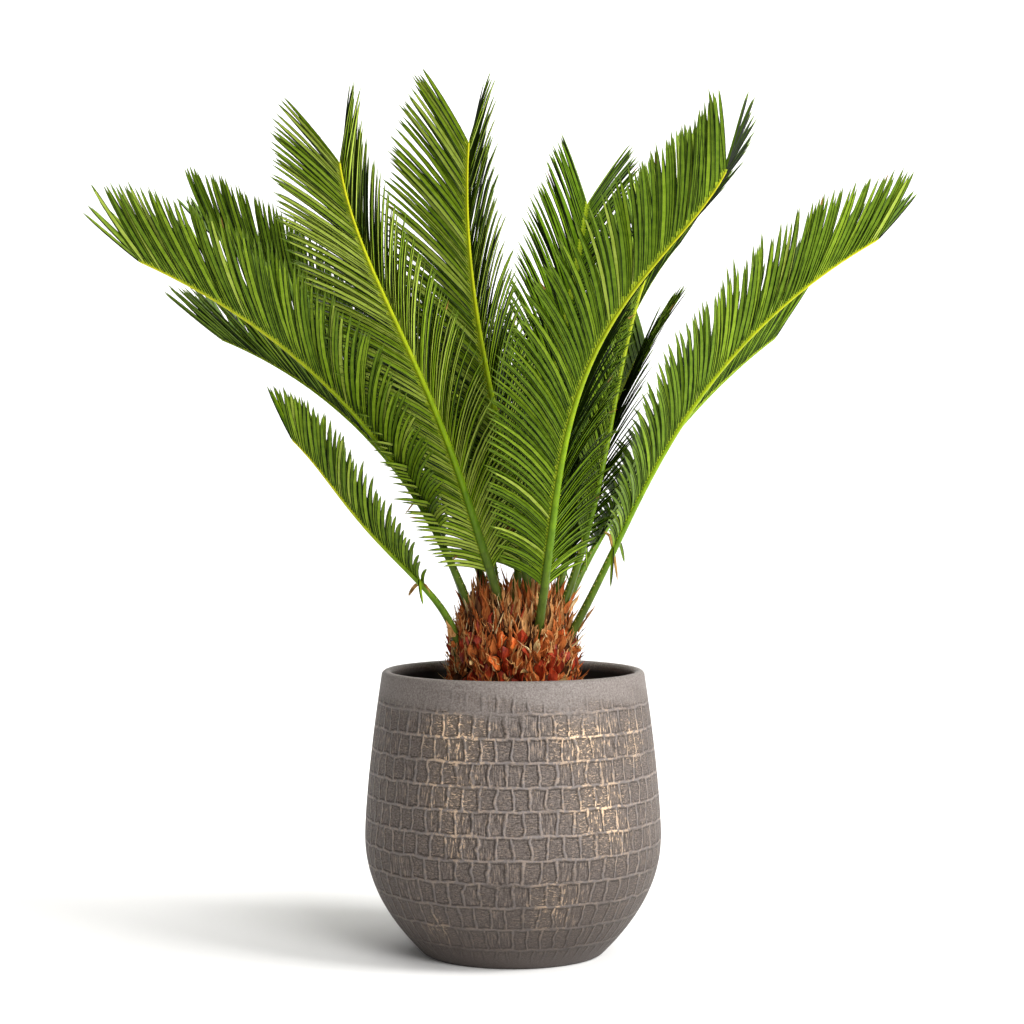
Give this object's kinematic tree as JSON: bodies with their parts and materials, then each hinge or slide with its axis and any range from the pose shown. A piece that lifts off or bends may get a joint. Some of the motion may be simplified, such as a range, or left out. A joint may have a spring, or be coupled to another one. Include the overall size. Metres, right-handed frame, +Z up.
{
  "type": "sago palm",
  "caption": "Young sago palm, Cycas revoluta, with a short scaly trunk and a crown of arching fronds, potted in a round textured stoneware planter.",
  "frame": {"origin": "centre of the pot's flat underside, on the surface the pot stands on", "axes": "+Z up along the pot's axis, +X to the viewer's right, -Y towards the viewer of the picture"},
  "size_m": [0.7113, 0.6716, 0.7797],
  "materials": {
    "stoneware": "matte, relief of small tiles",
    "potting_soil": "loose, dark",
    "leaf_bases": "dry fibrous scales",
    "leaf_green": "satin leaf"
  },
  "bodies": {
    "root": {"pot": "stoneware", "soil": "potting_soil", "trunk": "leaf_bases", "frond_left_low": "leaf_green", "frond_left_arch": "leaf_green", "frond_left_front": "leaf_green", "frond_centre": "leaf_green", "frond_right_front": "leaf_green", "frond_right_arch": "leaf_green", "frond_left_back": "leaf_green", "frond_right_inner": "leaf_green", "frond_back_upright": "leaf_green", "frond_back_left": "leaf_green", "frond_back_right": "leaf_green", "frond_right_outer": "leaf_green", "frond_right_back": "leaf_green", "frond_rear_left": "leaf_green", "frond_rear_right": "leaf_green"}
  },
  "joints": []
}
